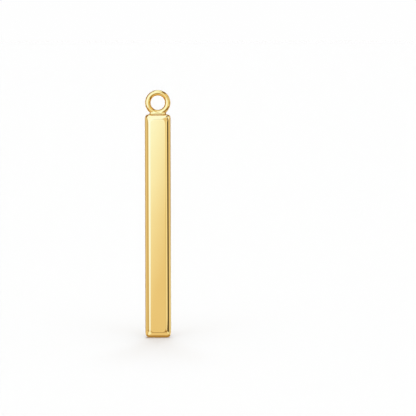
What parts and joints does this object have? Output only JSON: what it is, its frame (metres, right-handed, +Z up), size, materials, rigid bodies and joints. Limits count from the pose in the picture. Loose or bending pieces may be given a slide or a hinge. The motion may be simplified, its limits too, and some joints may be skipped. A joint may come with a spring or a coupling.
{
  "type": "bar earring drop",
  "caption": "Slim upright rounded gold bar with a closed wire ring soldered on its top end, a drop that slips on an ear wire or hoop.",
  "frame": {"origin": "centre of the ring's eye, where the ear wire or hoop passes through", "axes": "+Z up along the bar, towards the ring; +X across the front panel; -Y out of the front panel, and the eye's axis lies along Y"},
  "size_m": [0.003, 0.002, 0.0289],
  "materials": {
    "gold": "polished yellow gold plating on brass"
  },
  "bodies": {
    "root": {"bar_drop": "gold"}
  },
  "joints": []
}
